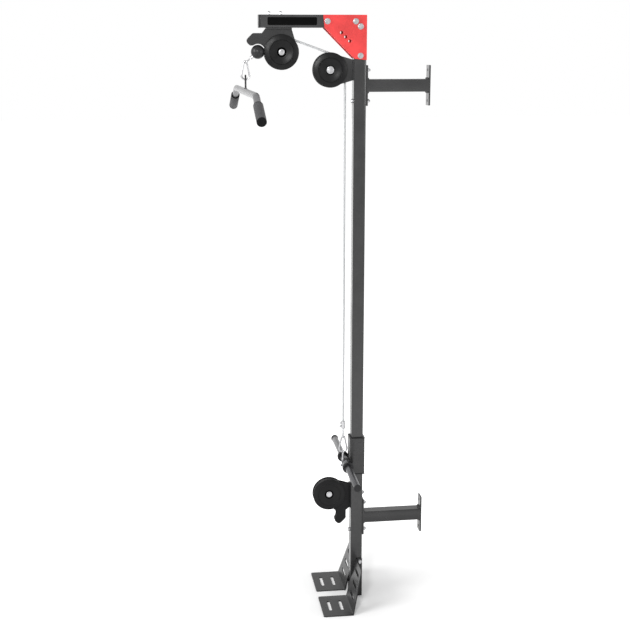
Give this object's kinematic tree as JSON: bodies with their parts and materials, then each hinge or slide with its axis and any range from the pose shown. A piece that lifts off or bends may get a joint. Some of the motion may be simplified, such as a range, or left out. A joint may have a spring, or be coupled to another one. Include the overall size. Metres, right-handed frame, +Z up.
{
  "type": "wall-mounted cable machine",
  "caption": "Wall-mounted cable machine: square post and beam, guided pulleys, weight carriage with a plate bar, stop ball and wide pull bar on a snap hook, folded foot plates.",
  "frame": {"origin": "centre of the post's square foot, on the floor", "axes": "+Z up the post, +Y towards the wall, -Y the way the beam reaches to the user, +X to the right as the user faces the machine"},
  "size_m": [1.0964, 0.693, 2.237],
  "materials": {
    "frame_paint": "satin dark grey powder coat",
    "bracket_paint": "satin black powder coat",
    "red_paint": "satin red powder coat",
    "zinc": "bright zinc plate",
    "black_plastic": "moulded black plastic",
    "pulley_nylon": "moulded nylon",
    "cable_coat": "clear coat over a steel cable",
    "cable_core": "bare steel strands",
    "bar_chrome": "satin chrome",
    "grip_rubber": "ribbed matt rubber",
    "ball_rubber": "smooth satin rubber"
  },
  "bodies": {
    "frame": {"post": "frame_paint", "beam": "frame_paint", "post_foot_cap": "black_plastic", "beam_end_cap": "black_plastic", "gusset_right": "red_paint", "gusset_left": "red_paint", "gusset_bolt_1": "zinc", "gusset_bolt_2": "zinc", "gusset_bolt_3": "zinc", "gusset_bolt_4": "zinc", "upper_wall_arm": "frame_paint", "lower_wall_arm": "frame_paint", "upper_arm_bolt_top": "zinc", "upper_arm_bolt_bottom": "zinc", "lower_arm_bolt_top": "zinc", "lower_arm_bolt_bottom": "zinc", "front_pulley_bracket": "bracket_paint", "rear_pulley_bracket": "bracket_paint", "lower_pulley_bracket": "bracket_paint", "front_bracket_bolt_1": "zinc", "front_bracket_bolt_2": "zinc", "lower_bracket_bolt": "zinc", "foot_plate_right": "frame_paint", "foot_plate_left": "frame_paint", "foot_bolt": "zinc", "front_pulley_axle": "zinc", "front_pulley_cover_right": "black_plastic", "front_pulley_cover_left": "black_plastic", "rear_pulley_axle": "zinc", "rear_pulley_cover_right": "black_plastic", "rear_pulley_cover_left": "black_plastic", "lower_pulley_axle": "zinc", "lower_pulley_cover_right": "black_plastic", "lower_pulley_cover_left": "black_plastic", "cable_over_pulleys": "cable_coat", "cable_rear_drop": "cable_coat"},
    "front_wheel": {"front_pulley": "pulley_nylon", "front_pulley_bearing": "zinc"},
    "rear_wheel": {"rear_pulley": "pulley_nylon", "rear_pulley_bearing": "zinc"},
    "lower_wheel": {"lower_pulley": "pulley_nylon", "lower_pulley_bearing": "zinc"},
    "carriage": {"carriage_sleeve": "frame_paint", "slide_liner": "black_plastic", "weight_horn": "bar_chrome", "horn_cap_right": "black_plastic", "horn_cap_left": "black_plastic", "horn_collar_right": "black_plastic", "horn_collar_left": "black_plastic", "cable_clip": "zinc", "cable_rear_loop": "cable_core", "lower_snap_hook": "zinc"},
    "lower_gate": {"lower_snap_hook_gate": "zinc"},
    "ball_end": {"stop_ball": "ball_rubber", "cable_front_end": "zinc"},
    "front_hook": {"front_snap_hook": "zinc"},
    "front_gate": {"front_snap_hook_gate": "zinc"},
    "bar": {"pull_bar": "bar_chrome", "grip_right": "grip_rubber", "grip_left": "grip_rubber"}
  },
  "joints": [
    {"name": "carriage_slide", "type": "slide", "parent": "frame", "child": "carriage", "axis": [0, 0, 1], "range_m": [0, 1.2], "deforming": ["cable_rear_drop"]},
    {"name": "bar_pull", "type": "slide", "parent": "frame", "child": "ball_end", "axis": [0, -0.7604, -0.6494], "range_m": [0, 1.2]},
    {"name": "front_pulley_spin", "type": "hinge", "parent": "frame", "child": "front_wheel", "pos_m": [0, -0.281, 2.0965], "axis": [1, 0, 0], "continuous": true},
    {"name": "rear_pulley_spin", "type": "hinge", "parent": "frame", "child": "rear_wheel", "pos_m": [0, -0.1065, 2.034], "axis": [1, 0, 0], "continuous": true},
    {"name": "lower_pulley_spin", "type": "hinge", "parent": "frame", "child": "lower_wheel", "pos_m": [0, -0.1065, 0.4244], "axis": [1, 0, 0], "continuous": true},
    {"name": "front_hook_swing", "type": "hinge", "parent": "ball_end", "child": "front_hook", "pos_m": [0, -0.40934, 2.05922], "axis": [1, 0, 0], "range_deg": [-30, 30]},
    {"name": "pull_bar_rock", "type": "hinge", "parent": "front_hook", "child": "bar", "pos_m": [0, -0.40934, 2.00147], "axis": [0, 1, 0], "range_deg": [-20, 20]},
    {"name": "front_gate_turn", "type": "hinge", "parent": "front_hook", "child": "front_gate", "pos_m": [0, -0.397, 2.02815], "axis": [1, 0, 0], "range_deg": [0, 19], "stiffness_Nm_per_rad": 0.02, "springref_deg": -20.05},
    {"name": "lower_gate_turn", "type": "hinge", "parent": "carriage", "child": "lower_gate", "pos_m": [0, -0.03916, 0.61818], "axis": [1, 0, 0], "range_deg": [0, 19], "stiffness_Nm_per_rad": 0.02, "springref_deg": -20.05}
  ],
  "couplings": [
    {"joint": "bar_pull", "follows": "carriage_slide", "ratio": 1},
    {"joint": "front_pulley_spin", "follows": "carriage_slide", "rad_per_m": 18.182},
    {"joint": "rear_pulley_spin", "follows": "carriage_slide", "rad_per_m": 18.182}
  ]
}
